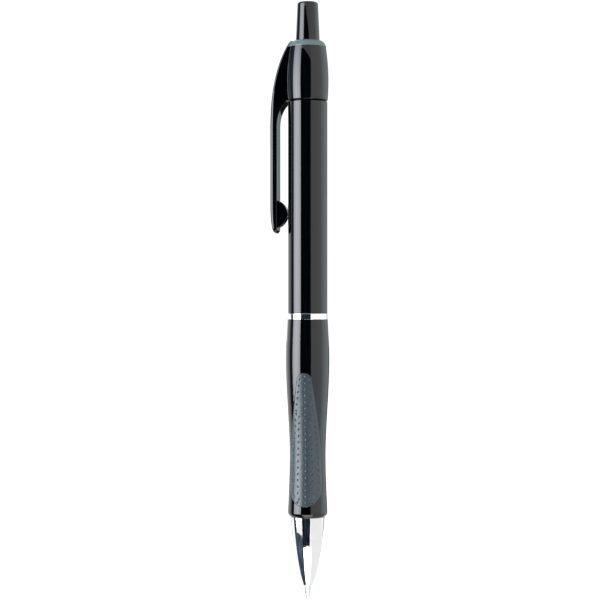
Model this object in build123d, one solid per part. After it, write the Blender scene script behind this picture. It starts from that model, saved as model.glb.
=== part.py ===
from build123d import *
import math
import os

# Retractable gel pen, in millimetres. The pen's axis is Z with the tip down and the writing ball's lowest
# point at z = 0. The clip is towards -X and the two rubber grip pads face -Y and +Y. The rest state is the
# writing state: tip out, push button down.

# ---- driving dimensions: heights along the axis ----
NOSE_MOUTH_Z = 3.4
GRIP_LOW_Z = 19.7
GRIP_TOP_Z = 66.92
TRIM_HEIGHT = 1.43
SEAM_Z = 119.12
CAP_TOP_Z = 132.2
COLLAR_TOP_Z = 133.75
BUTTON_TOP_Z = 143.0
SLEEVE_LOW_Z = 113.5
SLEEVE_TOP_Z = 122.1
REFILL_TOP_Z = 104.0
REFILL_SHOULDER_Z = 22.0
HINGE_Z = 113.0

# ---- driving dimensions: radii and widths ----
BARREL_R = 4.75
TRIM_R = 4.82
BORE_R = 3.5
SPIGOT_R = 4.1
NECK_R = 4.2
GRIP_BULGE_R = 5.17
GRIP_WAIST_R = 4.28
GRIP_LOW_R = 4.7
NOSE_R = 4.05
REFILL_R = 2.8
REFILL_BORE_R = 2.45
CHANNEL_R = 0.5
TIP_STEM_R = 0.75
BUTTON_R = 2.89
BUTTON_TIP_R = 2.47
BALL_R = 0.35
CLIP_WIDTH = 4.8
CLIP_OUTER_X = -8.8
CLIP_THICKNESS = 1.7
BUMP_WIDTH = 2.0
FIN_TOP_X = -4.8
CLIP_EDGE_ROUND = 0.5
PAD_DEPTH = 0.35
RIB_R = 3.05
RIB_WIDTH = 0.75
CAM_TEETH = 8
CAM_GROOVES = 4

# ---- motion ----
RETRACT = 5.0
OVER_PRESS = 1.2
GAP = 0.05
SOCKET_GAP = 0.015

# ---- sizes worked out from the ones above ----
TRIM_TOP_Z = GRIP_TOP_Z + TRIM_HEIGHT
CLIP_INNER_X = CLIP_OUTER_X + CLIP_THICKNESS
HINGE_X = (CLIP_OUTER_X + CLIP_INNER_X) / 2
COLLAR_SPIGOT_Z = CAP_TOP_Z - 2.0
FLANGE_TOP_Z = COLLAR_SPIGOT_Z - RETRACT - GAP
FLANGE_LOW_Z = SLEEVE_TOP_Z + OVER_PRESS + GAP
CROWN_LOW_Z = SLEEVE_LOW_Z - GAP
ROTOR_TOP_Z = CROWN_LOW_Z - 2 * GAP
NOSE_SPIGOT_Z = GRIP_LOW_Z + 5.0
NECK_TOP_Z = SEAM_Z + 8.0
SPRING_SEAT_Z = 9.0
SNAP_LOW_Z = SLEEVE_TOP_Z - 1.7
SNAP_TOP_Z = SLEEVE_TOP_Z - 0.9
SNAP_R = BORE_R + 0.25
PLUG_Z = REFILL_SHOULDER_Z + 7.0
INK_TOP_Z = 86.0
SHANK_TOP_Z = 7.2
STEM_TOP_Z = 11.2


def turned(*edges):
    """A solid of revolution about Z, from edges that close an outline of (radius, height) points."""
    return revolve(Plane.XZ * make_face([*edges]), Axis.Z)


def lathe(*points):
    """A solid of revolution about Z, from the straight-sided outline through (radius, height) points."""
    return turned(*Polyline(*points, close=True).edges())


def tube(outer_r, inner_r, low_z, top_z):
    return lathe((inner_r, low_z), (outer_r, low_z), (outer_r, top_z), (inner_r, top_z))


def rod(radius, low_z, top_z):
    return Pos(0, 0, low_z) * Cylinder(radius, top_z - low_z, align=(Align.CENTER, Align.CENTER, Align.MIN))


def around(shape, count, first_angle=0.0):
    """Copies of a shape spread evenly about Z."""
    return [Rot(0, 0, first_angle + 360 * i / count) * shape for i in range(count)]


def radial_bar(inner_r, outer_r, width, low_z, top_z):
    """A bar that runs outwards along +X between two radii."""
    bar = Box(outer_r - inner_r, width, top_z - low_z, align=(Align.MIN, Align.CENTER, Align.MIN))
    return Pos(inner_r, 0, low_z) * bar


def radial_notch(half_width, depth, low_z):
    """A V-shaped cutter that runs outwards along +X, open at the bottom and pointed at the top."""
    outline = Polyline((-half_width, low_z), (half_width, low_z), (0, low_z + depth), close=True)
    return extrude(Plane.YZ * make_face(outline), amount=BORE_R + 1)


def side_plate(outline, width):
    """A plate centred on the plane y = 0, from an outline drawn with (x, z) points."""
    return extrude(Plane.XZ * make_face([*outline]), amount=width / 2, both=True)


# ---- grip section ----

def grip_curves(inset=0.0):
    """The flank of the grip, from its top edge down: bulge, waist, then the flare above the nose."""
    edge_r = GRIP_LOW_R - inset
    top_r = 4.85 - inset
    bulge_r = GRIP_BULGE_R - inset
    waist_r = GRIP_WAIST_R - inset
    bulge_z = 57.2
    waist_z = 34.0
    flare_z = GRIP_LOW_Z + 1.3
    third = (bulge_z - waist_z) / 3
    shoulder = Bezier((top_r, GRIP_TOP_Z), (top_r + 0.17, 63.7), (bulge_r, 60.4), (bulge_r, bulge_z))
    hollow = Bezier(
        (bulge_r, bulge_z), (bulge_r, bulge_z - third), (waist_r, waist_z + third), (waist_r, waist_z)
    )
    flare = Bezier((waist_r, waist_z), (waist_r, waist_z - 3.5), (edge_r - 0.2, 26.0), (edge_r, flare_z))
    return shoulder, hollow, flare


def pad_outline():
    """Half-width and height of the teardrop grip pad: narrow and round at the top, wide and round below."""
    top_z = 54.3
    low_z = 22.4
    top_r = 1.85
    wide_x = 3.95
    shoulder_z = top_z - top_r
    wide_z = low_z + 4.2
    cap = ThreePointArc((-top_r, shoulder_z), (0, top_z), (top_r, shoulder_z))
    right = ThreePointArc((top_r, shoulder_z), (3.15, 42.5), (wide_x, wide_z))
    foot = EllipticalCenterArc((0, wide_z), wide_x, wide_z - low_z, start_angle=180, arc_size=180)
    left = ThreePointArc((-wide_x, wide_z), (-3.15, 42.5), (-top_r, shoulder_z))
    return cap, right, foot, left


def pad_blank(inset, core_r):
    """The solid behind the pads' stretch of the grip flank, sunk below the surface by the inset."""
    hollow, flare = grip_curves(inset)[1:]
    return turned(
        hollow, flare,
        Polyline(flare @ 1, (core_r, (flare @ 1).Y), (core_r, (hollow @ 0).Y), hollow @ 0),
    )


def grip_pad(side):
    """One rubber pad: the skin of the grip inside the teardrop, on the side of the pen given by +1 or -1."""
    prism = extrude(Plane.XZ * make_face([*pad_outline()]), amount=-side * 2 * BARREL_R)
    return (pad_blank(0, 1.0) & prism) - pad_blank(PAD_DEPTH, 0)


def grip_barrel(pads):
    shoulder, hollow, flare = grip_curves()
    bottom_r = GRIP_LOW_R - 0.75
    lip = ThreePointArc(flare @ 1, (GRIP_LOW_R - 0.22, GRIP_LOW_Z + 0.42), (bottom_r, GRIP_LOW_Z))
    bore_r = REFILL_R + 0.25
    spigot_top_z = GRIP_TOP_Z + 9.0
    inside = Polyline(
        lip @ 1, (BORE_R, GRIP_LOW_Z), (BORE_R, NOSE_SPIGOT_Z), (bore_r, NOSE_SPIGOT_Z),
        (bore_r, spigot_top_z), (SPIGOT_R, spigot_top_z), (SPIGOT_R, GRIP_TOP_Z), shoulder @ 0,
    )
    body = turned(shoulder, hollow, flare, lip, inside)
    for pad in pads:
        body -= pad
    return body


def nose_cone():
    """Metal bullet nose: spigot into the grip, seat for the spring, and a close-fitting mouth for the tip."""
    outside = Bezier((1.2, NOSE_MOUTH_Z), (2.05, 5.6), (3.35, 10.2), (NOSE_R, GRIP_LOW_Z))
    mouth_r = 0.98
    seat_hole_r = 1.72
    spring_r = 2.2
    spigot_bore_r = 2.95
    inside = Polyline(
        outside @ 1, (BORE_R, GRIP_LOW_Z), (BORE_R, NOSE_SPIGOT_Z), (spigot_bore_r, NOSE_SPIGOT_Z),
        (spigot_bore_r, 15.0), (spring_r, 13.4), (spring_r, SPRING_SEAT_Z), (seat_hole_r, SPRING_SEAT_Z),
        (seat_hole_r, 7.8), (mouth_r, 4.6), (mouth_r, NOSE_MOUTH_Z), outside @ 0,
    )
    return turned(outside, inside)


def trim_ring():
    rounding = 0.12
    ring = tube(TRIM_R, SPIGOT_R, GRIP_TOP_Z, TRIM_TOP_Z)
    return fillet(ring.edges().filter_by(GeomType.CIRCLE).group_by(SortBy.RADIUS)[-1], rounding)


# ---- rear barrel, clip cap and clip ----

def upper_barrel():
    counterbore_z = GRIP_TOP_Z + 9.5
    edge = 0.15
    return lathe(
        (SPIGOT_R, TRIM_TOP_Z), (BARREL_R - edge, TRIM_TOP_Z), (BARREL_R, TRIM_TOP_Z + edge),
        (BARREL_R, SEAM_Z - edge), (BARREL_R - edge, SEAM_Z), (NECK_R, SEAM_Z), (NECK_R, NECK_TOP_Z),
        (BORE_R, NECK_TOP_Z), (BORE_R, SNAP_TOP_Z), (SNAP_R, SNAP_TOP_Z), (SNAP_R, SNAP_LOW_Z),
        (BORE_R, SNAP_LOW_Z), (BORE_R, counterbore_z), (SPIGOT_R, counterbore_z),
    )


def fin_outline():
    """Side view of the fin that joins the cap to the clip, ending above the clip's hinge line."""
    inside_cap_x = -BORE_R - 0.4
    back = Bezier((FIN_TOP_X, CAP_TOP_Z), (-7.2, 127.9), (CLIP_OUTER_X, 121.6), (CLIP_OUTER_X, HINGE_Z))
    arch = Bezier((CLIP_INNER_X, HINGE_Z), (CLIP_INNER_X, 116.2), (-6.1, 117.6), (-BARREL_R - GAP, SEAM_Z))
    top = Polyline(arch @ 1, (inside_cap_x, SEAM_Z), (inside_cap_x, CAP_TOP_Z), back @ 0)
    return back, Line(back @ 1, arch @ 0), arch, top


def clip_cap():
    """Barrel-shaped cap over the neck of the rear barrel, with the fin that carries the clip."""
    widest = (5.01, 124.3)
    low = Bezier((4.8, SEAM_Z), (4.95, 120.8), (5.01, 122.4), widest)
    high = Bezier(widest, (5.01, 126.9), (4.78, 129.6), (4.41, CAP_TOP_Z))
    inside = Polyline(high @ 1, (0, CAP_TOP_Z), (0, SEAM_Z), low @ 0)
    cap = turned(low, high, inside)
    fin = side_plate(fin_outline(), CLIP_WIDTH)
    fin = fillet(fin.edges().sort_by(SortBy.LENGTH)[-2:], CLIP_EDGE_ROUND)
    pivot_r = CLIP_THICKNESS / 2 + GAP
    pivot = Pos(HINGE_X, 0, HINGE_Z) * Rot(90, 0, 0) * Cylinder(pivot_r, CLIP_WIDTH + 1)
    neck_hole = rod(NECK_R, SEAM_Z - 1, NECK_TOP_Z)
    return cap + fin - pivot - neck_hole - rod(BORE_R, SEAM_Z, CAP_TOP_Z + 1)


def clip_arm():
    """Pocket clip: a bar with a rounded free end, and a narrow round bump that presses on the barrel."""
    bump_z = 92.2
    bump_half = 3.3
    bump_x = -BARREL_R - GAP
    bump_root_x = CLIP_INNER_X - 0.3
    toe_z = 86.9
    toe_start_z = 94.5
    toe_corner = 1.3
    radius = CLIP_THICKNESS / 2
    head = ThreePointArc((CLIP_OUTER_X, HINGE_Z), (HINGE_X, HINGE_Z + radius), (CLIP_INNER_X, HINGE_Z))
    inner = Line(head @ 1, (CLIP_INNER_X, bump_z - bump_half))
    toe = Bezier(inner @ 1, (CLIP_INNER_X, toe_z), (CLIP_OUTER_X, toe_z - 0.6), (CLIP_OUTER_X, toe_start_z))
    outer = Line(toe @ 1, head @ 0)
    side_view = side_plate([head, inner, toe, outer], CLIP_WIDTH)
    blank_depth = 2 * CLIP_THICKNESS
    blank_top_z = HINGE_Z + CLIP_THICKNESS
    blank_low_z = toe_z + 0.7
    blank = Box(
        blank_depth, CLIP_WIDTH, blank_top_z - blank_low_z, align=(Align.MIN, Align.CENTER, Align.MIN)
    )
    blank = Pos(CLIP_OUTER_X, 0, blank_low_z) * blank
    blank = fillet(blank.edges().filter_by(Axis.X).group_by(Axis.Z)[0], toe_corner)
    blank = fillet(blank.faces().sort_by(Axis.X)[0].edges(), CLIP_EDGE_ROUND)
    bump = ThreePointArc(
        (CLIP_INNER_X, bump_z + bump_half), (bump_x, bump_z), (CLIP_INNER_X, bump_z - bump_half)
    )
    root = Polyline(
        bump @ 1, (bump_root_x, bump_z - bump_half), (bump_root_x, bump_z + bump_half), bump @ 0
    )
    return (side_view & blank) + side_plate([bump, root], BUMP_WIDTH)


def collar_ring():
    """Domed ring that closes the cap, with a spigot inside the cap and a lobe that covers the fin's top."""
    hole_r = BUTTON_R + 0.09
    rim_r = 4.42
    rim_z = CAP_TOP_Z + 0.1
    dome = Bezier((rim_r, rim_z), (4.3, rim_z + 0.55), (3.8, COLLAR_TOP_Z - 0.15), (3.05, COLLAR_TOP_Z))
    rest = Polyline(
        dome @ 1, (hole_r, COLLAR_TOP_Z), (hole_r, COLLAR_SPIGOT_Z), (BORE_R, COLLAR_SPIGOT_Z),
        (BORE_R, CAP_TOP_Z), (rim_r, CAP_TOP_Z), dome @ 0,
    )
    lobe_end_x = -3.45
    lobe_top_z = COLLAR_TOP_Z - 0.2
    lobe_back = Bezier(
        (FIN_TOP_X, CAP_TOP_Z), (-4.35, CAP_TOP_Z + 0.75), (-4.15, lobe_top_z), (lobe_end_x, lobe_top_z)
    )
    lobe_rest = Polyline(lobe_back @ 1, (lobe_end_x, CAP_TOP_Z), (FIN_TOP_X, CAP_TOP_Z))
    return turned(dome, rest) + side_plate([lobe_back, lobe_rest], CLIP_WIDTH - 2 * CLIP_EDGE_ROUND)


# ---- click mechanism ----

def push_button():
    """Hollow tapered button with a flange that keeps it inside the cap."""
    flange_r = BORE_R - 0.1
    stem_r = 1.9
    hollow_top_z = 138.0
    crown_round = 0.6
    button = lathe(
        (stem_r, FLANGE_LOW_Z), (flange_r, FLANGE_LOW_Z), (flange_r, FLANGE_TOP_Z), (BUTTON_R, FLANGE_TOP_Z),
        (BUTTON_R, COLLAR_TOP_Z), (BUTTON_TIP_R, BUTTON_TOP_Z), (0, BUTTON_TOP_Z), (0, hollow_top_z),
        (stem_r, hollow_top_z),
    )
    return fillet(button.edges().group_by(Axis.Z)[-1], crown_round)


def cam_plunger():
    """Toothed plunger pressed into the button: it slides in the sleeve and kicks the rotor round."""
    skirt_r = 2.5
    pilot_bore_r = 1.55
    stem_r = 1.9
    tooth_depth = 0.7
    pilot_top_z = CROWN_LOW_Z + 7.5
    stem_top_z = FLANGE_LOW_Z + 9.5
    body = tube(skirt_r, pilot_bore_r, CROWN_LOW_Z, pilot_top_z)
    body += rod(skirt_r, pilot_top_z, FLANGE_LOW_Z)
    body += rod(stem_r, FLANGE_LOW_Z, stem_top_z)
    rib = radial_bar(skirt_r - 0.2, RIB_R, RIB_WIDTH, CROWN_LOW_Z + 1, CROWN_LOW_Z + 5)
    for placed_rib in around(rib, CAM_GROOVES):
        body += placed_rib
    pitch = 2 * math.pi * skirt_r / CAM_TEETH
    for notch in around(radial_notch(pitch / 2, tooth_depth, CROWN_LOW_Z), CAM_TEETH, 180 / CAM_TEETH):
        body -= notch
    return body


def cam_sleeve():
    """Fixed sleeve with deep grooves for the ribs, and notched lands between them that hold the tip out."""
    inner_r = 2.6
    body = tube(BORE_R, inner_r, SLEEVE_LOW_Z, SLEEVE_TOP_Z)
    body += tube(SNAP_R, BORE_R - 0.2, SNAP_LOW_Z, SNAP_TOP_Z)
    groove = radial_bar(0, RIB_R + 0.1, RIB_WIDTH + 0.25, SLEEVE_LOW_Z - 1, SLEEVE_TOP_Z + 1)
    for cutter in around(groove, CAM_GROOVES):
        body -= cutter
    for notch in around(radial_notch(0.9, 1.0, SLEEVE_LOW_Z), CAM_GROOVES, 180 / CAM_GROOVES):
        body -= notch
    return body


def cam_rotor():
    """Rotor with slant-topped ribs: it turns by one tooth at each click and stands on the refill."""
    core_r = 2.1
    foot_r = 2.6
    pilot_r = 1.45
    rib_low_z = REFILL_TOP_Z + 2.5
    body = lathe(
        (0, REFILL_TOP_Z), (foot_r, REFILL_TOP_Z), (foot_r, REFILL_TOP_Z + 1.8), (core_r, REFILL_TOP_Z + 2.3),
        (core_r, ROTOR_TOP_Z - 0.8), (pilot_r, ROTOR_TOP_Z - 0.8), (pilot_r, ROTOR_TOP_Z + 6.5),
        (0, ROTOR_TOP_Z + 6.5),
    )
    rib = radial_bar(core_r - 0.3, RIB_R, RIB_WIDTH, rib_low_z, ROTOR_TOP_Z)
    slant = Pos(core_r, RIB_WIDTH / 2, ROTOR_TOP_Z) * Rot(45, 0, 0) * Box(4, 1, 1)
    for slanted_rib in around(rib - slant, CAM_GROOVES):
        body += slanted_rib
    return body


def return_spring():
    """Compression spring between the seat in the nose and the refill's shoulder."""
    wire_r = 0.17
    coil_r = 1.85
    coils = 8
    low_z = SPRING_SEAT_Z + wire_r + 0.01
    height = REFILL_SHOULDER_Z - wire_r - 0.01 - low_z
    path = Pos(0, 0, low_z) * Helix(height / coils, height, coil_r)
    section = Plane(path @ 0, z_dir=path % 0) * Circle(wire_r)
    return sweep(section, path, is_frenet=True)


# ---- refill ----

def refill_tube():
    return tube(REFILL_R, REFILL_BORE_R, REFILL_SHOULDER_Z + 1.5, REFILL_TOP_Z - 1)


def tail_plug():
    """Vented plug at the back of the refill, which the rotor pushes on."""
    vent_r = 0.4
    return lathe(
        (vent_r, REFILL_TOP_Z - 4), (REFILL_BORE_R, REFILL_TOP_Z - 4), (REFILL_BORE_R, REFILL_TOP_Z - 1),
        (REFILL_R, REFILL_TOP_Z - 1), (REFILL_R, REFILL_TOP_Z), (vent_r, REFILL_TOP_Z),
    )


def tip_holder():
    """Plastic holder that carries the metal tip, with the shoulder that the spring pushes on."""
    collar_r = 1.1
    barrel_r = 1.55
    return lathe(
        (TIP_STEM_R, SHANK_TOP_Z), (collar_r, SHANK_TOP_Z), (barrel_r, SHANK_TOP_Z + 2.2),
        (barrel_r, REFILL_SHOULDER_Z), (REFILL_R, REFILL_SHOULDER_Z), (REFILL_R, REFILL_SHOULDER_Z + 1.5),
        (REFILL_BORE_R, REFILL_SHOULDER_Z + 1.5), (REFILL_BORE_R, PLUG_Z), (CHANNEL_R, PLUG_Z),
        (CHANNEL_R, STEM_TOP_Z), (TIP_STEM_R, STEM_TOP_Z),
    )


def writing_tip():
    """Metal point: a cone that cups the ball, a shank that fills the nose's mouth and a pressed-in stem."""
    feed_r = 0.18
    shank_r = 0.9
    body = lathe(
        (0, 0.17), (0.37, 0.17), (0.45, 0.5), (0.82, 3.0), (shank_r, 3.9), (shank_r, SHANK_TOP_Z),
        (TIP_STEM_R, SHANK_TOP_Z), (TIP_STEM_R, STEM_TOP_Z), (0, STEM_TOP_Z),
    )
    socket = Pos(0, 0, BALL_R) * Sphere(BALL_R + SOCKET_GAP)
    return body - socket - rod(feed_r, BALL_R, STEM_TOP_Z)


def writing_ball():
    return Pos(0, 0, BALL_R) * Sphere(BALL_R)


def ink_column():
    """Ink in the tube and in the holder's channel."""
    return lathe(
        (0, STEM_TOP_Z), (CHANNEL_R, STEM_TOP_Z), (CHANNEL_R, PLUG_Z), (REFILL_BORE_R, PLUG_Z),
        (REFILL_BORE_R, INK_TOP_Z), (0, INK_TOP_Z),
    )


def ink_follower():
    """Clear grease plug that follows the ink down the tube."""
    return rod(REFILL_BORE_R, INK_TOP_Z, INK_TOP_Z + 5)


def main():
    pad_front = grip_pad(-1)
    pad_back = grip_pad(+1)
    pieces = {
        "push_button": push_button(),
        "cam_plunger": cam_plunger(),
        "cam_rotor": cam_rotor(),
        "cam_sleeve": cam_sleeve(),
        "collar_ring": collar_ring(),
        "clip_cap": clip_cap(),
        "clip_arm": clip_arm(),
        "upper_barrel": upper_barrel(),
        "trim_ring": trim_ring(),
        "grip_barrel": grip_barrel([pad_front, pad_back]),
        "grip_pad_front": pad_front,
        "grip_pad_back": pad_back,
        "nose_cone": nose_cone(),
        "return_spring": return_spring(),
        "refill_tube": refill_tube(),
        "tail_plug": tail_plug(),
        "tip_holder": tip_holder(),
        "writing_tip": writing_tip(),
        "writing_ball": writing_ball(),
        "ink_column": ink_column(),
        "ink_follower": ink_follower(),
    }
    os.makedirs("parts", exist_ok=True)
    for name, shape in pieces.items():
        shape.label = name
        export_step(shape, f"parts/{name}.step")


main()
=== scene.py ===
import math

import bmesh
import bpy
import numpy as np
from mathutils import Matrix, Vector


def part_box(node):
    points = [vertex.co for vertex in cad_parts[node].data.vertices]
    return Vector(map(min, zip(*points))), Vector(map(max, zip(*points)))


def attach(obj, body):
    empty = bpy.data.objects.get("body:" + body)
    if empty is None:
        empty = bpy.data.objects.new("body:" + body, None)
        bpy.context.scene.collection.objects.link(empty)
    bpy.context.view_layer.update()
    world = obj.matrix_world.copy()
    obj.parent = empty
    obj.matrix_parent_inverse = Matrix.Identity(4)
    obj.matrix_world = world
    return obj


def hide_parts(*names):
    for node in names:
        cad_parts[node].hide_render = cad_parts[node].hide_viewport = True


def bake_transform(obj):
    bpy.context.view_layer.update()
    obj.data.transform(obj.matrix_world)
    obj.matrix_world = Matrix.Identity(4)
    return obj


# Looks of a retractable gel pen that stands on its tip, axis on Z and clip towards -X. Sizes are millimetres
# of the CAD model's frame, and MM turns them into metres.

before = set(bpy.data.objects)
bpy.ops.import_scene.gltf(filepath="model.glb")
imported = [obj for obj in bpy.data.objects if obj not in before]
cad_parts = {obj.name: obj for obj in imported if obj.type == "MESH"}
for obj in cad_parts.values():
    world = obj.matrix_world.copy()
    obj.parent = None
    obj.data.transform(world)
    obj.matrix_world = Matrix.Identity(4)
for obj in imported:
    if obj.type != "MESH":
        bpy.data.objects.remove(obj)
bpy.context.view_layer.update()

MM = 0.001


def low_corner(name):
    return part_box(name)[0] / MM


def high_corner(name):
    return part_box(name)[1] / MM


# ---- the cap, its fin and the clip ----
CAP_TOP_Z = high_corner("clip_cap").z
NECK_TOP_Z = high_corner("upper_barrel").z
NECK_LENGTH = 8.0
SEAM_Z = NECK_TOP_Z - NECK_LENGTH
SEAM_GAP = 0.26
NECK_R = 4.2
# Painted shade: inside this radius the neck barely shines, so it looks dark in the seam gap.
NECK_PAINTED_SHADE_R = 4.6
BORE_R = 3.5
CAP_FOOT_R = 4.8
CAP_WIDE_R = 5.01
CAP_WIDE_Z = 124.3
CAP_TOP_R = 4.41
CLIP_THICKNESS = 1.7
CLIP_OUTER_X = low_corner("clip_arm").x
CLIP_INNER_X = CLIP_OUTER_X + CLIP_THICKNESS
CLIP_HALF_WIDTH = high_corner("clip_arm").y
HINGE_Z = high_corner("clip_arm").z - CLIP_THICKNESS / 2
FIN_TOP_X = -4.8
BUMP_Z = 92.2
BUMP_HALF = 3.3
BUMP_X = high_corner("clip_arm").x
BUMP_HALF_WIDTH = 1.0
BUMP_EDGE_R = 0.25
INNER_HOLLOW = 0.06
TOE_TURN_Z = 86.9
TOE_START_Z = 94.5
TOE_CORNER_R = 1.3
CREASE_R = 0.17
CAP_EDGE_R = 0.2

# ---- the grip and its pads ----
GRIP_BULGE_R = high_corner("grip_barrel").x
GRIP_BULGE_Z = 57.2
GRIP_WAIST_R = 4.28
GRIP_WAIST_Z = 34.0
GRIP_LOW_R = 4.7
GRIP_LIP_HEIGHT = 1.3
GRIP_FLARE_Z = low_corner("grip_barrel").z + GRIP_LIP_HEIGHT
PAD_LOW_Z = low_corner("grip_pad_front").z
PAD_TOP_Z = high_corner("grip_pad_front").z
PAD_WIDE_X = high_corner("grip_pad_front").x
PAD_FOOT_HEIGHT = 4.2
PAD_WIDE_Z = PAD_LOW_Z + PAD_FOOT_HEIGHT
PAD_SHOULDER_R = 1.85
PAD_SHOULDER_Z = PAD_TOP_Z - PAD_SHOULDER_R
PAD_FLANK = (3.15, 42.5)
PAD_DEPTH = 0.33
PAD_EDGE_R = 0.16
PAD_STEP = 0.09
DIMPLE_R = 0.31
DIMPLE_STRETCH = 1.3
DIMPLE_DEPTH = 0.13
DIMPLE_PITCH = 1.5
DIMPLE_BORDER = 0.85
INNER_COLUMNS_TOP_Z = 44.5

# ---- the return spring ----
WIRE_R = 0.17
SPRING_LOW_Z = low_corner("return_spring").z + WIRE_R
SPRING_TOP_Z = high_corner("return_spring").z - WIRE_R
COIL_R = high_corner("return_spring").x - WIRE_R
SPRING_TURNS = 8
END_COIL_RISE = 0.45


# ---------------------------------------------------------------- curves and meshes

def bezier(points, count=200):
    """Points along a cubic Bezier, as rows of (x, z)."""
    t = np.linspace(0, 1, count)[:, None]
    a, b, c, d = (np.array(p, float) for p in points)
    return (1 - t) ** 3 * a + 3 * (1 - t) ** 2 * t * b + 3 * (1 - t) * t ** 2 * c + t ** 3 * d


def height_lookup(points):
    """A function that gives x at a height, from rows of (x, z) with rising or falling z."""
    order = np.argsort(points[:, 1])
    zs = points[order, 1]
    xs = points[order, 0]
    return lambda z: float(np.interp(z, zs, xs))


def smoothstep(value, low, high):
    t = np.clip((value - low) / (high - low), 0, 1)
    return t * t * (3 - 2 * t)


def mesh_object(name, vertices, faces):
    """A smooth-shaded object from vertices in millimetres."""
    mesh = bpy.data.meshes.new(name)
    mesh.from_pydata([tuple(MM * c for c in v) for v in vertices], [], faces)
    work = bmesh.new()
    work.from_mesh(mesh)
    bmesh.ops.recalc_face_normals(work, faces=work.faces)
    work.to_mesh(mesh)
    work.free()
    mesh.shade_smooth()
    mesh.set_sharp_from_angle(angle=math.radians(40))
    obj = bpy.data.objects.new(name, mesh)
    bpy.context.scene.collection.objects.link(obj)
    return obj


def bridge(loop_a, loop_b):
    """Quads between two closed loops of vertex numbers, of equal length."""
    count = len(loop_a)
    return [
        (loop_a[i], loop_a[(i + 1) % count], loop_b[(i + 1) % count], loop_b[i])
        for i in range(count)
    ]


def set_values(mesh, name, values):
    """A number on every vertex of a mesh, for its material to read."""
    attribute = mesh.attributes.new(name, "FLOAT", "POINT")
    attribute.data.foreach_set("value", np.asarray(values, np.float32))


# ---------------------------------------------------------------- cap with fin and clip, one moulding

FIN_BACK = height_lookup(bezier(
    [(FIN_TOP_X, CAP_TOP_Z), (-7.2, 127.9), (CLIP_OUTER_X, 121.6), (CLIP_OUTER_X, HINGE_Z)]
))
FIN_ARCH = height_lookup(bezier(
    [(CLIP_INNER_X, HINGE_Z), (CLIP_INNER_X, 116.2), (-6.1, 117.6), (BUMP_X, SEAM_Z)]
))
CAP_SIDE = height_lookup(np.vstack([
    bezier([(CAP_FOOT_R, SEAM_Z), (4.95, 120.8), (CAP_WIDE_R, 122.4), (CAP_WIDE_R, CAP_WIDE_Z)]),
    bezier([(CAP_WIDE_R, CAP_WIDE_Z), (CAP_WIDE_R, 126.9), (4.78, 129.6), (CAP_TOP_R, CAP_TOP_Z)])[1:],
]))
TOE = bezier(
    [
        (CLIP_INNER_X, BUMP_Z - BUMP_HALF), (CLIP_INNER_X, TOE_TURN_Z),
        (CLIP_OUTER_X, TOE_TURN_Z - 0.6), (CLIP_OUTER_X, TOE_START_Z),
    ],
    400,
)
TOE_LOW = int(np.argmin(TOE[:, 1]))
TOE_Z = float(TOE[TOE_LOW, 1])
TOE_INNER = height_lookup(TOE[:TOE_LOW + 1])
TOE_OUTER = height_lookup(TOE[TOE_LOW:])
CAP_LOW_Z = SEAM_Z + SEAM_GAP


def corner_r(z):
    """Rounding of the outer corners: tight on the fin, softer down the clip."""
    return 0.5 + 0.28 * float(smoothstep(SEAM_Z + 4 - z, 0, 9))


def arc_points(centre, radius, start, end, count):
    """Points on an arc in the XY plane, angles in radians, both ends included."""
    angles = np.linspace(start, end, count)
    return np.column_stack([centre[0] + radius * np.cos(angles), centre[1] + radius * np.sin(angles)])


def fin_half(outer_x, half_width, rounding, inner_x):
    """Half of the fin's outline, y >= 0: middle of the outer edge, corner, then along the side to inner_x."""
    edge = np.linspace((outer_x, 0.0), (outer_x, half_width - rounding), 5)
    corner = arc_points((outer_x + rounding, half_width - rounding), rounding, math.pi, math.pi / 2, 9)
    side = np.linspace((outer_x + rounding, half_width), (inner_x, half_width), 7)
    return np.vstack([edge, corner[1:], side[1:]])


def cap_half(z):
    """The rest of the cap's half outline at a height: crease beside the fin, then the round side to +X."""
    rise = min(z - CAP_LOW_Z, CAP_EDGE_R)
    radius = CAP_SIDE(z) - CAP_EDGE_R + math.sqrt(CAP_EDGE_R ** 2 - (CAP_EDGE_R - rise) ** 2)
    crease_y = CLIP_HALF_WIDTH + CREASE_R
    crease_x = -math.sqrt((radius + CREASE_R) ** 2 - crease_y ** 2)
    towards_axis = math.atan2(-crease_y, -crease_x)
    crease = arc_points((crease_x, crease_y), CREASE_R, -math.pi / 2, towards_axis, 7)
    side = arc_points((0, 0), radius, math.atan2(crease_y, crease_x), 0.0, 61)
    return crease, side[1:]


def mirrored(half):
    """A closed loop from its y >= 0 half, which starts and ends on the plane y = 0."""
    other = half[-2:0:-1] * (1, -1)
    return np.vstack([half, other])


def cap_loop(z):
    """The cap and fin at a height, as one closed outline."""
    crease, side = cap_half(z)
    rounding = corner_r(z)
    corner_end_x = FIN_BACK(z) + rounding
    side_end_x = corner_end_x + SIDE_SHARE * (crease[0][0] - corner_end_x)
    fin = fin_half(FIN_BACK(z), CLIP_HALF_WIDTH, rounding, side_end_x)
    return mirrored(np.vstack([fin, crease, side]))


def clip_inner_x(z):
    """Inner face of the clip's bar, facing the barrel, from the arch down to the toe."""
    if z > HINGE_Z:
        return FIN_ARCH(z)
    return CLIP_INNER_X if z > BUMP_Z - BUMP_HALF else TOE_INNER(z)


def clip_outer_x(z):
    if z > HINGE_Z:
        return FIN_BACK(z)
    return TOE_OUTER(z) if z < TOE_START_Z else CLIP_OUTER_X


def bump_height(z):
    """How far the round bump stands out from the bar's hollow face."""
    reach = BUMP_X - CLIP_INNER_X + INNER_HOLLOW
    bump_r = (BUMP_HALF ** 2 + reach ** 2) / (2 * reach)
    offset = z - BUMP_Z
    return reach - bump_r + math.sqrt(bump_r ** 2 - offset ** 2) if abs(offset) < BUMP_HALF else 0.0


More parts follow.
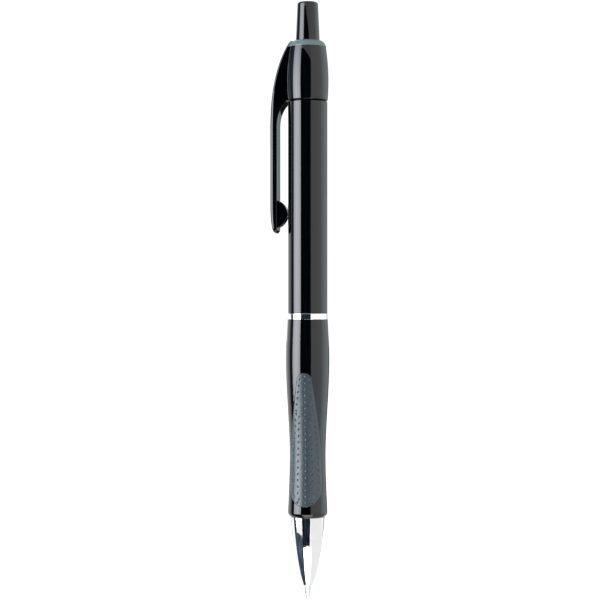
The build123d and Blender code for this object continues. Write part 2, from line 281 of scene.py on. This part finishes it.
def inner_face(z, inner_x, half_width, edge_r):
    """Half of the clip's inner outline, from the end of its side at +Y to the middle: rounded edge, slightly
    hollow face, then the rounded flank and the top of the bump."""
    rounding = arc_points((inner_x - edge_r, half_width - edge_r), edge_r, math.pi / 2, 0.0, 5)
    flat_end = half_width - edge_r
    bump_y = min(BUMP_HALF_WIDTH, flat_end)
    flank = math.pi / 2 * np.linspace(0, 1, 6)[1:]
    y = np.concatenate([
        np.linspace(flat_end, bump_y, 5)[1:],
        bump_y - BUMP_EDGE_R * (1 - np.cos(flank)),
        np.linspace(bump_y - BUMP_EDGE_R, 0, 6)[1:],
    ])
    share = np.concatenate([np.zeros(4), np.sin(flank), np.ones(5)])
    depth = INNER_HOLLOW * float(smoothstep(z - TOE_Z, 0.5, 2.0))
    x = inner_x - depth * (1 - (y / flat_end) ** 2) + share * bump_height(z)
    return np.vstack([rounding, np.column_stack([x, y])])


def clip_outline(z):
    """Outer and inner runs of the clip's outline at a height, each from +Y round to -Y."""
    corner_drop = max(0.0, TOE_CORNER_R - (z - TOE_Z))
    half_width = CLIP_HALF_WIDTH - TOE_CORNER_R + math.sqrt(TOE_CORNER_R ** 2 - corner_drop ** 2)
    outer_x = clip_outer_x(z)
    inner_x = clip_inner_x(z)
    thickness = inner_x - outer_x
    outer_r = min(corner_r(z), 0.45 * thickness)
    inner_r = min(0.02 + 0.16 * float(smoothstep(SEAM_Z - z, 0, 2)), 0.45 * thickness)
    outer_half = fin_half(outer_x, half_width, outer_r, inner_x - inner_r)
    outer = np.vstack([outer_half[::-1], outer_half[1:] * (1, -1)])
    inner_half = inner_face(z, inner_x, half_width, inner_r)
    inner = np.vstack([inner_half, inner_half[-2::-1] * (1, -1)])
    return outer, inner[::-1]


def clip_heights():
    """Heights of the clip's slices, from just below the seam down to the toe, closer where it curves."""
    bump_top_z = BUMP_Z + BUMP_HALF
    arch = np.arange(CAP_LOW_Z - 0.2, HINGE_Z, -0.2)
    bend = np.arange(HINGE_Z, HINGE_Z - 4, -0.25)
    straight = np.linspace(HINGE_Z - 4, bump_top_z, 14)[:-1]
    bump = BUMP_Z + BUMP_HALF * np.cos(np.linspace(0, math.pi, 49))
    toe_share = 1 - np.sin(np.linspace(0, math.pi / 2, 25))
    toe = TOE_Z + (BUMP_Z - BUMP_HALF - TOE_Z) * toe_share[1:-1]
    return np.concatenate([arch, bend, straight, bump, toe, [TOE_Z + 0.003]])


CORNER_END_X = FIN_BACK(CAP_LOW_Z) + corner_r(CAP_LOW_Z)
CREASE_START_X = cap_half(CAP_LOW_Z)[0][0][0]
SIDE_SHARE = (BUMP_X - CORNER_END_X) / (CREASE_START_X - CORNER_END_X)


def clip_and_cap():
    """The cap, its fin and the pocket clip as the one moulding that they are, sliced level by level."""
    vertices = []
    faces = []

    def add_loop(outline, z):
        first = len(vertices)
        vertices.extend((x, y, z) for x, y in outline)
        return list(range(first, len(vertices)))

    edge_heights = CAP_LOW_Z + CAP_EDGE_R * (1 - np.cos(np.linspace(0, math.pi / 2, 6)))
    heights = np.concatenate([edge_heights, np.arange(SEAM_Z + 0.6, CAP_TOP_Z - 0.1, 0.25), [CAP_TOP_Z]])
    loops = [add_loop(cap_loop(z), z) for z in heights]
    for low, high in zip(loops, loops[1:]):
        faces += bridge(low, high)

    # The first loop splits where the clip leaves the cap: the fin's part carries on down as the clip.
    seam = loops[0]
    outlines = [clip_outline(z) for z in clip_heights()]
    first_outer, first_inner = outlines[0]
    half_count = (len(first_outer) + 1) // 2
    fin_loop = seam[half_count - 1::-1] + seam[:-half_count:-1]
    arch_edge = add_loop([(BUMP_X, y) for y in first_inner[-2:0:-1, 1]], CAP_LOW_Z)
    clip_loops = [fin_loop + arch_edge[::-1]]
    for z, (outer, inner) in zip(clip_heights(), outlines):
        clip_loops.append(add_loop(np.vstack([outer, inner[1:-1]]), z))
    for high, low in zip(clip_loops, clip_loops[1:]):
        faces += bridge(high, low)
    faces.append(tuple(clip_loops[-1]))

    # The underside of the cap, the neck's socket, the bore and the top face, as rings round the axis.
    arch_end = [fin_loop[0]] + arch_edge + [fin_loop[-1]]
    middle = len(arch_end) // 2
    round_part = seam[half_count:len(seam) - half_count + 1]
    underside = arch_end[middle::-1] + round_part + arch_end[:middle:-1]
    angles = [math.atan2(vertices[i][1], vertices[i][0]) for i in underside]
    rings = [underside]
    for radius, z in ((NECK_R, CAP_LOW_Z), (NECK_R, NECK_TOP_Z), (BORE_R, NECK_TOP_Z), (BORE_R, CAP_TOP_Z)):
        rings.append(add_loop([(radius * math.cos(a), radius * math.sin(a)) for a in angles], z))
    rings.append(loops[-1])
    for low, high in zip(rings, rings[1:]):
        faces += bridge(low, high)
    moulding = mesh_object("clip_and_cap", vertices, faces)
    # Painted shade: the fin's flat sides are marked to barely shine, so they look dark.
    fin_sides_shade_mask = [z >= CAP_LOW_Z and x < 0 and abs(abs(y) - CLIP_HALF_WIDTH) < 0.01 for x, y, z in vertices]
    set_values(moulding.data, "painted_shade", fin_sides_shade_mask)
    return moulding


# ---------------------------------------------------------------- grip pads

GRIP_THIRD = (GRIP_BULGE_Z - GRIP_WAIST_Z) / 3
GRIP_SIDE = height_lookup(np.vstack([
    bezier([
        (GRIP_LOW_R, GRIP_FLARE_Z), (GRIP_LOW_R - 0.2, 26.0),
        (GRIP_WAIST_R, GRIP_WAIST_Z - 3.5), (GRIP_WAIST_R, GRIP_WAIST_Z),
    ]),
    bezier([
        (GRIP_WAIST_R, GRIP_WAIST_Z), (GRIP_WAIST_R, GRIP_WAIST_Z + GRIP_THIRD),
        (GRIP_BULGE_R, GRIP_BULGE_Z - GRIP_THIRD), (GRIP_BULGE_R, GRIP_BULGE_Z),
    ])[1:],
]))


def circle_through(a, b, c):
    """Centre and radius of the circle through three points."""
    (ax, ay), (bx, by), (cx, cy) = a, b, c
    d = 2 * (ax * (by - cy) + bx * (cy - ay) + cx * (ay - by))
    ux = ((ax**2 + ay**2) * (by - cy) + (bx**2 + by**2) * (cy - ay) + (cx**2 + cy**2) * (ay - by)) / d
    uy = ((ax**2 + ay**2) * (cx - bx) + (bx**2 + by**2) * (ax - cx) + (cx**2 + cy**2) * (bx - ax)) / d
    return (ux, uy), math.hypot(ax - ux, ay - uy)


FLANK_CENTRE, FLANK_R = circle_through(
    (PAD_SHOULDER_R, PAD_SHOULDER_Z), PAD_FLANK, (PAD_WIDE_X, PAD_WIDE_Z)
)


def pad_half_width(z):
    """Half-width of the teardrop pad at a height."""
    if z >= PAD_SHOULDER_Z:
        return math.sqrt(max(0.0, PAD_SHOULDER_R ** 2 - (z - PAD_SHOULDER_Z) ** 2))
    if z >= PAD_WIDE_Z:
        return FLANK_CENTRE[0] + math.sqrt(FLANK_R ** 2 - (z - FLANK_CENTRE[1]) ** 2)
    drop = (PAD_WIDE_Z - z) / (PAD_WIDE_Z - PAD_LOW_Z)
    return PAD_WIDE_X * math.sqrt(max(0.0, 1 - drop ** 2))


def dimple_centres():
    """Places of the dimples on a pad, as (x, z): a middle column, two that follow the pad's edges and, on the
    wide part, two more between them. Columns are staggered by half a pitch."""
    centres = []
    first_z = PAD_TOP_Z - DIMPLE_BORDER
    for half_step in range(int(2 * (first_z - PAD_LOW_Z) / DIMPLE_PITCH)):
        z = first_z - half_step * DIMPLE_PITCH / 2
        edge_x = pad_half_width(z) - DIMPLE_BORDER
        if z < PAD_LOW_Z + DIMPLE_BORDER or edge_x < 0.4:
            continue
        if half_step % 2 == 0:
            centres.append((0.0, z))
            if z < INNER_COLUMNS_TOP_Z:
                centres += [(-edge_x, z), (edge_x, z)]
        elif z < INNER_COLUMNS_TOP_Z:
            centres += [(-0.55 * edge_x, z), (0.55 * edge_x, z)]
        else:
            centres += [(-edge_x, z), (edge_x, z)]
    return centres


def grip_pad(name, side):
    """One rubber pad with moulded dimples and a rounded edge that drops into its recess."""
    length = PAD_TOP_Z - PAD_LOW_Z
    rows = int(length / PAD_STEP)
    columns = int(2 * PAD_WIDE_X / PAD_STEP) + 1
    rounded = (1 - np.cos(np.linspace(0, math.pi, rows))) / 2
    heights = PAD_LOW_Z + 0.01 + (length - 0.02) * (0.75 * np.linspace(0, 1, rows) + 0.25 * rounded)
    even = np.linspace(-1, 1, columns)
    share = 0.75 * even + 0.25 * np.sin(even * math.pi / 2)
    x = share[None, :] * np.array([pad_half_width(z) for z in heights])[:, None]
    z = np.repeat(heights[:, None], columns, axis=1)
    radius = np.array([GRIP_SIDE(h) for h in heights])[:, None]

    outline_z = PAD_LOW_Z + length * (1 - np.cos(np.linspace(0, math.pi, 400))) / 2
    to_edge = np.full(x.shape, length)
    for edge_z in outline_z:
        to_edge = np.minimum(to_edge, np.hypot(np.abs(x) - pad_half_width(edge_z), z - edge_z))
    into_edge = np.maximum(0, PAD_EDGE_R - to_edge)
    edge_drop = PAD_EDGE_R - np.sqrt(PAD_EDGE_R ** 2 - into_edge ** 2)

    dimple = np.zeros(x.shape)
    for dimple_x, dimple_z in dimple_centres():
        reach = np.hypot(x - dimple_x, (z - dimple_z) / DIMPLE_STRETCH)
        dimple = np.maximum(dimple, 1 - smoothstep(reach, 0.0, DIMPLE_R))
    front_r = radius - edge_drop - DIMPLE_DEPTH * dimple
    back_r = radius - PAD_DEPTH
    vertices = np.vstack([
        np.stack([x, side * np.sqrt(surface_r ** 2 - x ** 2), z], -1).reshape(-1, 3)
        for surface_r in (front_r, back_r)
    ])
    count = rows * columns
    index = np.arange(count).reshape(rows, columns)
    quads = np.stack([index[:-1, :-1], index[:-1, 1:], index[1:, 1:], index[1:, :-1]], -1).reshape(-1, 4)
    faces = quads.tolist() + (quads[:, ::-1] + count).tolist()
    rim = np.concatenate([index[0], index[1:, -1], index[-1, -2::-1], index[-2:0:-1, 0]])
    faces += bridge(rim.tolist(), (rim + count).tolist())
    obj = mesh_object(name, vertices, faces)
    set_values(obj.data, "dimple", np.concatenate([dimple.ravel(), np.zeros(count)]))
    return obj


# ---------------------------------------------------------------- return spring

def coil_spring():
    """The wire of the return spring, wound with a closed coil at each end."""
    steps = 32 * SPRING_TURNS + 1
    around_wire = 10
    turn = np.linspace(0, SPRING_TURNS, steps)
    height = np.interp(
        turn,
        (0, 1, SPRING_TURNS - 1, SPRING_TURNS),
        (SPRING_LOW_Z, SPRING_LOW_Z + END_COIL_RISE, SPRING_TOP_Z - END_COIL_RISE, SPRING_TOP_Z),
    )
    wire = np.linspace(0, 2 * math.pi, around_wire, endpoint=False)
    angle = 2 * math.pi * turn[:, None]
    radius = COIL_R + WIRE_R * np.cos(wire)[None, :]
    z = height[:, None] + WIRE_R * np.sin(wire)[None, :]
    vertices = np.stack([radius * np.cos(angle), radius * np.sin(angle), z], -1).reshape(-1, 3)
    rings = np.arange(steps * around_wire).reshape(steps, around_wire).tolist()
    faces = [tuple(rings[0]), tuple(rings[-1])]
    for low, high in zip(rings, rings[1:]):
        faces += bridge(low, high)
    return mesh_object("return_spring_wire", vertices, faces)


# ---------------------------------------------------------------- materials

def new_material(name):
    """An empty node material: its node tree and its Principled shader."""
    material = bpy.data.materials.new(name)
    material.use_nodes = True
    return material, material.node_tree, material.node_tree.nodes["Principled BSDF"]


def node(tree, kind, **settings):
    """A new node, with its settings as attributes or, for sockets, as values."""
    made = tree.nodes.new("ShaderNode" + kind)
    for key, value in settings.items():
        if hasattr(made, key):
            setattr(made, key, value)
        else:
            made.inputs[key.replace("_", " ")].default_value = value
    return made


def stretched(tree, scale):
    """Object coordinates in metres, stretched by a scale along each axis."""
    place = node(tree, "TexCoord")
    mapping = node(tree, "Mapping", Scale=scale)
    tree.links.new(place.outputs["Object"], mapping.inputs["Vector"])
    return mapping.outputs["Vector"]


def noise(tree, size_mm, detail=3.0, stretch=(1, 1, 1)):
    """Noise whose features are about this many millimetres across."""
    made = node(tree, "TexNoise", Scale=1 / (size_mm * MM), Detail=detail)
    tree.links.new(stretched(tree, stretch), made.inputs["Vector"])
    return made.outputs["Fac"]


def remap(tree, value, from_low, from_high, to_low, to_high):
    made = node(tree, "MapRange", From_Min=from_low, From_Max=from_high, To_Min=to_low, To_Max=to_high)
    tree.links.new(value, made.inputs["Value"])
    return made.outputs["Result"]


def maths(tree, operation, a, b):
    """A maths node on two values, each a socket or a number."""
    made = node(tree, "Math", operation=operation)
    for socket, value in zip(made.inputs, (a, b)):
        if isinstance(value, (int, float)):
            socket.default_value = value
        else:
            tree.links.new(value, socket)
    return made.outputs[0]


def tinted(tree, amount, colour_a, colour_b):
    """A colour between two, by an amount from 0 to 1."""
    made = node(tree, "Mix", data_type="RGBA")
    made.inputs[6].default_value = (*colour_a, 1)
    made.inputs[7].default_value = (*colour_b, 1)
    tree.links.new(amount, made.inputs["Factor"])
    return made.outputs[2]


def bumped(tree, shader, height, height_mm, strength=1.0):
    """Relief this many millimetres high, on the shader's normal."""
    made = node(tree, "Bump", Strength=strength, Distance=height_mm * MM)
    tree.links.new(height, made.inputs["Height"])
    tree.links.new(made.outputs["Normal"], shader.inputs["Normal"])


def specks(tree, spacing_mm, size_mm):
    """1 on sparse tiny specks, 0 elsewhere."""
    cells = node(tree, "TexVoronoi", Scale=1 / (spacing_mm * MM))
    tree.links.new(stretched(tree, (1, 1, 1)), cells.inputs["Vector"])
    return remap(tree, cells.outputs["Distance"], size_mm / spacing_mm, 0.5 * size_mm / spacing_mm, 0, 1)


def inside(tree, radius_mm):
    """1 nearer than a radius to the pen's axis, 0 outside it."""
    distance = node(tree, "VectorMath", operation="LENGTH")
    tree.links.new(stretched(tree, (1, 1, 0)), distance.inputs[0])
    return maths(tree, "LESS_THAN", distance.outputs["Value"], radius_mm * MM)


def gloss_plastic(name, colour, worn_colour, roughness, slot, painted_shade_r=0.0):
    """Hard moulded plastic: faint orange peel, hairline scratches along the pen, dust and cloudy smears.
    Painted
    shade: it barely shines where the mesh marks it and nearer the axis than the given radius, so it looks
    dark there."""
    material, tree, shader = new_material(name)
    scratches = remap(tree, noise(tree, 0.12, 2, (1, 1, 0.02)), 0.68, 0.74, 0, 1)
    dust = specks(tree, 3.4, 0.06)
    marks = maths(tree, "MAXIMUM", maths(tree, "MULTIPLY", scratches, 0.15), dust)
    tree.links.new(tinted(tree, marks, colour, worn_colour), shader.inputs["Base Color"])
    smears = remap(tree, noise(tree, 5.0, 4), 0.35, 0.7, roughness, roughness * 2)
    scuffs = maths(tree, "MULTIPLY", marks, 0.06)
    tree.links.new(maths(tree, "ADD", smears, scuffs), shader.inputs["Roughness"])
    bumped(tree, shader, noise(tree, 1.6, 2), 0.0008)
    shader.inputs["IOR"].default_value = 1.5
    # Painted shade: marked places, and places inside the radius, drop from 0.5 to 0.04 specular so they look
    # dark.
    marked = node(tree, "Attribute", attribute_name="painted_shade").outputs["Fac"]
    painted_shade = maths(tree, "MAXIMUM", marked, inside(tree, painted_shade_r))
    tree.links.new(remap(tree, painted_shade, 0, 1, 0.5, 0.04), shader.inputs["Specular IOR Level"])
    return material, slot


def satin_plastic(name, colour, shade, roughness, slot):
    """Softer moulded plastic: fine spark-eroded grain and a little mottling."""
    material, tree, shader = new_material(name)
    tree.links.new(tinted(tree, noise(tree, 1.4, 4), colour, shade), shader.inputs["Base Color"])
    clouds = remap(tree, noise(tree, 0.8, 3), 0.3, 0.7, roughness, roughness + 0.12)
    tree.links.new(clouds, shader.inputs["Roughness"])
    bumped(tree, shader, noise(tree, 0.07, 3), 0.006, 0.6)
    return material, slot


def polished_metal(name, colour, roughness, lay, slot):
    """Plated or turned metal: fine tool lines round the axis, cloudy polish and a few pinholes."""
    material, tree, shader = new_material(name)
    shader.inputs["Metallic"].default_value = 1.0
    clouds = noise(tree, 2.5, 4)
    dulled = tuple(0.93 * c for c in colour)
    tree.links.new(tinted(tree, clouds, colour, dulled), shader.inputs["Base Color"])
    tree.links.new(remap(tree, clouds, 0.3, 0.75, roughness, roughness * 1.8), shader.inputs["Roughness"])
    lines = noise(tree, 0.05, 2, (0.04, 0.04, 1))
    holes = specks(tree, 1.9, 0.06)
    bumped(tree, shader, maths(tree, "SUBTRACT", lines, holes), lay)
    return material, slot


def grip_rubber():
    """Blue-grey rubber: fine grain, mottling, and painted shade that darkens the dimples."""
    material, tree, shader = new_material("grip_rubber_dimpled")
    mottle = tinted(tree, noise(tree, 1.6, 5), (0.025, 0.038, 0.046), (0.040, 0.054, 0.063))
    mask = node(tree, "Attribute", attribute_name="dimple")
    # Painted shade: inside the dimples the colour is mixed up to 60% towards a near-black blue.
    dimple_shade = node(tree, "Mix", data_type="RGBA")
    dimple_shade.inputs[7].default_value = (0.006, 0.012, 0.016, 1)
    tree.links.new(mottle, dimple_shade.inputs[6])
    tree.links.new(remap(tree, mask.outputs["Fac"], 0.1, 0.9, 0, 0.6), dimple_shade.inputs["Factor"])
    tree.links.new(dimple_shade.outputs[2], shader.inputs["Base Color"])
    sheen = remap(tree, noise(tree, 0.5, 3), 0.3, 0.7, 0.26, 0.4)
    tree.links.new(sheen, shader.inputs["Roughness"])
    bumped(tree, shader, noise(tree, 0.25, 4), 0.02, 0.8)
    return material, "grip_rubber"


def clear_plastic(name, colour, roughness, slot):
    """Translucent plastic or grease, with faint flow lines."""
    material, tree, shader = new_material(name)
    deeper = tuple(0.9 * c for c in colour)
    tree.links.new(tinted(tree, noise(tree, 1.5, 3), colour, deeper), shader.inputs["Base Color"])
    clouds = remap(tree, noise(tree, 0.6, 3), 0.3, 0.7, roughness, roughness + 0.1)
    tree.links.new(clouds, shader.inputs["Roughness"])
    shader.inputs["Transmission Weight"].default_value = 0.8
    bumped(tree, shader, noise(tree, 0.3, 2, (1, 1, 0.1)), 0.004)
    return material, slot


def dress(obj, look):
    """Gives an object one material."""
    material, slot = look
    obj.data.materials.clear()
    obj.data.materials.append(material)


# ---------------------------------------------------------------- studio

CAMERA_AZIMUTH = 10.0
CAMERA_DISTANCE = 430.0
CAMERA_Z = 70.0
FRAME_HEIGHT = 143.8
AIM_Z = 71.6
AIM_LEFT = 1.85
STUDIO_R = 1500.0
INNER_R = 1480.0
NEAR_R = 75.0
ROOM_LIGHT = 1.08
CARD_ROWS = 12
CARD_TOP = 60
LOW_CARD_TOP = -12
LOW_CARD_FOOT = -75
FOOT_DEPTH = 12


def direction(azimuth):
    """Unit vector, as (x, y), from the pen towards an azimuth, where 0 is -Y and 90 is +X."""
    a = math.radians(azimuth)
    return math.sin(a), -math.cos(a)


def add_camera():
    data = bpy.data.cameras.new("camera")
    camera = bpy.data.objects.new("camera", data)
    bpy.context.scene.collection.objects.link(camera)
    bpy.context.scene.camera = camera
    across = direction(CAMERA_AZIMUTH + 90)
    back = direction(CAMERA_AZIMUTH)
    eye = Vector((back[0] * CAMERA_DISTANCE, back[1] * CAMERA_DISTANCE, CAMERA_Z)) * MM
    aim = Vector((-across[0] * AIM_LEFT, -across[1] * AIM_LEFT, AIM_Z)) * MM
    camera.location = eye
    camera.rotation_euler = (aim - eye).to_track_quat("-Z", "Y").to_euler()
    data.sensor_width = 36.0
    data.lens = data.sensor_width / FRAME_HEIGHT * (aim - eye).length / MM
    data.clip_start = 0.01


def glow(name, colour, foot_colour, mottle_mm):
    """Light as strong as the card's "level", mottled if a size is given, that takes the foot colour where the
    card's "foot" is 1."""
    material = bpy.data.materials.new(name)
    material.use_nodes = True
    tree = material.node_tree
    tree.nodes.clear()
    level = node(tree, "Attribute", attribute_name="level").outputs["Fac"]
    if mottle_mm:
        patches = remap(tree, noise(tree, mottle_mm, 4), 0.38, 0.62, 0.2, 1.9)
        level = maths(tree, "MULTIPLY", level, patches)
    emission = node(tree, "Emission")
    foot = node(tree, "Attribute", attribute_name="foot").outputs["Fac"]
    tree.links.new(tinted(tree, foot, colour, foot_colour), emission.inputs["Color"])
    tree.links.new(level, emission.inputs["Strength"])
    output = node(tree, "OutputMaterial")
    tree.links.new(emission.outputs[0], output.inputs["Surface"])
    return material


def studio_card(
    name, colour, stations, level, radius=STUDIO_R, mottle_mm=0.0, lights=False, foot_colour=None,
):
    """A curved card round the pen. Each station is an azimuth with the elevations of the card's low and high
    edge there, in degrees from the pen's middle, and level gives its brightness at an azimuth and elevation.
    The camera looks past it at the white room: only reflections see it, unless it lights the pen too. The
    colour turns into foot_colour, if there is one, from the horizon down."""
    vertices = []
    levels = []
    feet = []
    for azimuth, low, high in stations:
        x, y = direction(azimuth + CAMERA_AZIMUTH)
        for elevation in np.linspace(low, high, CARD_ROWS):
            vertices.append((x * radius, y * radius, AIM_Z + radius * math.tan(math.radians(elevation))))
            levels.append(level(azimuth, elevation))
            feet.append(smoothstep(-elevation, 0, FOOT_DEPTH))
    index = np.arange(len(vertices)).reshape(-1, CARD_ROWS)
    quads = np.stack([index[:-1, :-1], index[1:, :-1], index[1:, 1:], index[:-1, 1:]], -1).reshape(-1, 4)
    card = mesh_object(name, vertices, quads.tolist())
    set_values(card.data, "level", levels)
    set_values(card.data, "foot", feet)
    card.data.materials.append(glow(name, colour, foot_colour or colour, mottle_mm))
    card.visible_camera = False
    card.visible_shadow = False
    card.visible_diffuse = lights


def square_card(name, colour, from_azimuth, to_azimuth, low, high, level, **options):
    """A far card with level edges, between two azimuths and two elevations."""
    stations = [(azimuth, low, high) for azimuth in np.linspace(from_azimuth, to_azimuth, 17)]
    studio_card(name, colour, stations, level, **options)


def ramp(places, levels):
    """Brightness that changes with the azimuth only, through the given levels at the given places."""
    return lambda azimuth, elevation: float(np.interp(azimuth, places, levels))


def even(level):
    """The same brightness all over a card."""
    return lambda azimuth, elevation: level


def softbox_level(azimuth, elevation):
    """Brightest in the middle of the box, fading towards its sides and its top."""
    across = np.interp(azimuth, (-89, -80, -71, -62, -54, -45, -36), (6.5, 8.8, 10.4, 11.2, 10.2, 8.4, 6.8))
    return float(across * np.interp(elevation, (-16, 4, 18, 38), (0.85, 1.0, 0.8, 0.2)))


def flag_level(azimuth, elevation):
    """A dark flag that picks up some light above the horizon."""
    return float(np.interp(elevation, (-10, 0, 6), (0.05, 0.2, 0.4)))


def table_level(azimuth, elevation):
    """A dark table, darker the further down it is seen."""
    return float(np.interp(elevation, (-60, -35, -17), (0.04, 0.07, 0.14)))


def add_room():
    """White surround and a pale floor."""
    world = bpy.data.worlds.new("room")
    bpy.context.scene.world = world
    world.use_nodes = True
    background = world.node_tree.nodes["Background"]
    background.inputs["Color"].default_value = (1, 1, 1, 1)
    background.inputs["Strength"].default_value = ROOM_LIGHT
    half = 3000.0
    corners = [(-half, -half, 0), (half, -half, 0), (half, half, 0), (-half, half, 0)]
    floor = mesh_object("floor", corners, [(0, 1, 2, 3)])
    material, tree, shader = new_material("floor")
    pale = tinted(tree, noise(tree, 60.0, 4), (0.93, 0.93, 0.93), (0.96, 0.96, 0.96))
    tree.links.new(pale, shader.inputs["Base Color"])
    shader.inputs["Roughness"].default_value = 0.9
    floor.data.materials.append(material)
    floor.visible_glossy = False


def add_studio():
    """Azimuths here are seen from the pen, with 0 towards the camera and + to the camera's right."""
    add_room()
    white = (1.0, 1.0, 1.0)
    navy = (0.5, 0.75, 1.1)
    square_card("softbox", (0.93, 0.97, 1.03), -89, -36, -16, 38, softbox_level, lights=True)
    square_card("left_flag", (0.5, 0.8, 1.1), -112, -89, LOW_CARD_FOOT, CARD_TOP, flag_level)
    square_card("left_wall", (0.97, 1.0, 1.02), -165, -112, -70, CARD_TOP, ramp((-165, -112), (1.4, 1.15)))
    square_card("upper_left_flag", navy, -131, -112, 6.5, CARD_TOP, even(0.05), radius=INNER_R)
    square_card("far_left_flag", navy, -150, -131, 6.5, 12.5, even(0.05), radius=INNER_R)
    square_card(
        "right_wall", white, 17, 84, LOW_CARD_TOP, CARD_TOP, ramp((17, 84), (1.3, 1.5)),
        foot_colour=(0.82, 1.0, 1.15),
    )
    square_card(
        "right_fill", (0.88, 1.0, 1.0), 84, 165, LOW_CARD_TOP, CARD_TOP,
        ramp((84, 100, 116, 128, 144, 160), (1.75, 1.95, 1.66, 1.36, 0.73, 0.5)),
    )
    low_right_edge = ((24, -16), (37, -32), (55, -48), (100, -62), (170, LOW_CARD_FOOT))
    low_right = [(azimuth, low, LOW_CARD_TOP) for azimuth, low in low_right_edge]
    studio_card("low_right_card", white, low_right, even(0.95))
    square_card("low_front_card", white, -38, 37, LOW_CARD_FOOT, -25, even(4.0))
    square_card("backdrop_foot", white, 150, 205, LOW_CARD_TOP, -1, even(0.02), radius=INNER_R)
    table = [(-110, -70, -16.2), (-97, -70, -16.2), (-70, -70, -18.6), (-46, -70, -20.4), (-40, -34, -20.8)]
    studio_card("dark_table", navy, table, table_level, mottle_mm=200.0)
    flag_edge = ((-40, 49.8), (-21, 49.8), (-10, 49.1), (0, 48.4), (17, 46.5))
    flag = [(azimuth, -49.9, high) for azimuth, high in flag_edge]
    studio_card("front_flag", navy, flag, even(0.025), radius=NEAR_R, mottle_mm=9.0)


# ---------------------------------------------------------------- the pen

BLACK = (0.0003, 0.0004, 0.0008)
DUST = (0.02, 0.02, 0.022)
WHITE_ACETAL = (0.78, 0.78, 0.76)
CLOUDY_PLASTIC = (0.70, 0.72, 0.72)


def shaded(colour, share):
    return tuple(share * c for c in colour)


def build_pieces():
    moulding = clip_and_cap()
    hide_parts("clip_cap", "clip_arm")
    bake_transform(moulding)
    pads = []
    for pad_name, side in (("grip_pad_front", -1), ("grip_pad_back", 1)):
        pad = grip_pad(pad_name + "_dimpled", side)
        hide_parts(pad_name)
        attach(pad, "barrel")
        pads.append(pad)
    spring = coil_spring()
    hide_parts("return_spring")
    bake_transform(spring)
    return moulding, pads, spring


def paint(moulding, pads, spring):
    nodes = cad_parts
    black = gloss_plastic("black_plastic", BLACK, DUST, 0.03, "black_gloss")
    chrome = polished_metal("nose_chrome", (0.90, 0.90, 0.90), 0.035, 0.0002, "chrome")
    collar = satin_plastic("collar_plastic", (0.072, 0.104, 0.112), (0.086, 0.120, 0.128), 0.3, "collar_grey")
    acetal = satin_plastic("cam_acetal", WHITE_ACETAL, shaded(WHITE_ACETAL, 0.9), 0.35, "cam_white")
    holder = satin_plastic("holder_resin", CLOUDY_PLASTIC, shaded(CLOUDY_PLASTIC, 0.9), 0.4, "holder_plastic")
    looks = {
        "push_button": black,
        # Painted shade: the neck inside the seam gap barely shines, through the last argument.
        "upper_barrel": gloss_plastic("barrel_plastic", BLACK, DUST, 0.03, "black_gloss", NECK_PAINTED_SHADE_R),
        "grip_barrel": black,
        "collar_ring": collar,
        "trim_ring": chrome,
        "nose_cone": chrome,
        "writing_tip": polished_metal("nickel_silver", (0.82, 0.80, 0.76), 0.22, 0.0008, "tip_metal"),
        "writing_ball": polished_metal("ball_steel", (0.75, 0.75, 0.77), 0.08, 0.0001, "ball_metal"),
        "cam_sleeve": acetal,
        "cam_rotor": acetal,
        "cam_plunger": satin_plastic("plunger_resin", (0.012, 0.012, 0.014), DUST, 0.4, "cam_black"),
        "tip_holder": holder,
        "tail_plug": holder,
        "refill_tube": clear_plastic("tube_resin", (0.86, 0.88, 0.88), 0.15, "clear_tube"),
        "ink_follower": clear_plastic("follower_grease", (0.88, 0.84, 0.62), 0.2, "grease"),
        "ink_column": gloss_plastic("black_ink", (0.002, 0.002, 0.004), DUST, 0.08, "ink"),
    }
    for name, look in looks.items():
        dress(nodes[name], look)
    dress(moulding, black)
    dress(spring, polished_metal("spring_wire", (0.62, 0.62, 0.63), 0.18, 0.001, "spring_steel"))
    rubber = grip_rubber()
    for pad in pads:
        dress(pad, rubber)


moulding, pads, spring = build_pieces()
paint(moulding, pads, spring)
add_studio()
add_camera()
bpy.context.scene.view_settings.view_transform = "Standard"
